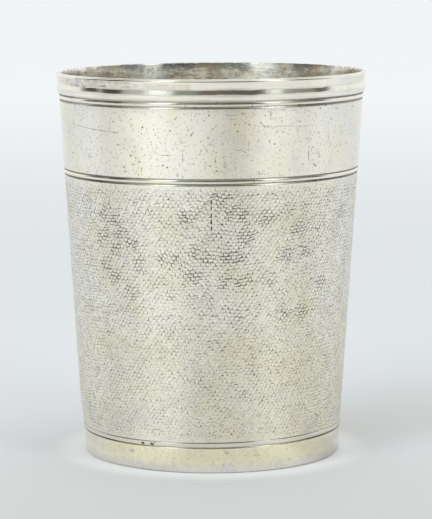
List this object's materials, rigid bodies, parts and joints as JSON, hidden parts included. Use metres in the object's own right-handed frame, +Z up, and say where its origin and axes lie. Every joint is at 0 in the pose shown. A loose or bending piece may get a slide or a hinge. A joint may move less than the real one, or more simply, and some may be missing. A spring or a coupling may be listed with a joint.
{
  "type": "silver beaker",
  "caption": "Tapering footless silver beaker, wider at the mouth, with a moulded lip, reeded borders and a punched snakeskin zone, for drinking.",
  "frame": {"origin": "centre of the foot ring, on the surface that the cup stands on", "axes": "+Z up along the cup's own axis, from the foot to the mouth; the cup is round, so +X and +Y are any two directions across it"},
  "size_m": [0.073, 0.073, 0.09],
  "materials": {
    "worn_gilt_silver": "silver with worn pale gilding: satin plain bands and a punched snakeskin zone",
    "reed_silver": "bright drawn silver wire",
    "base_silver": "planished silver sheet, tarnished",
    "silver_solder": "dull hard solder"
  },
  "bodies": {
    "root": {"body_wall": "worn_gilt_silver", "base_disc": "base_silver", "base_solder_fillet": "silver_solder", "lip_moulding": "worn_gilt_silver", "upper_reed_wire": "reed_silver", "middle_reed_wire": "reed_silver", "lower_reed_wire": "reed_silver"}
  },
  "joints": []
}
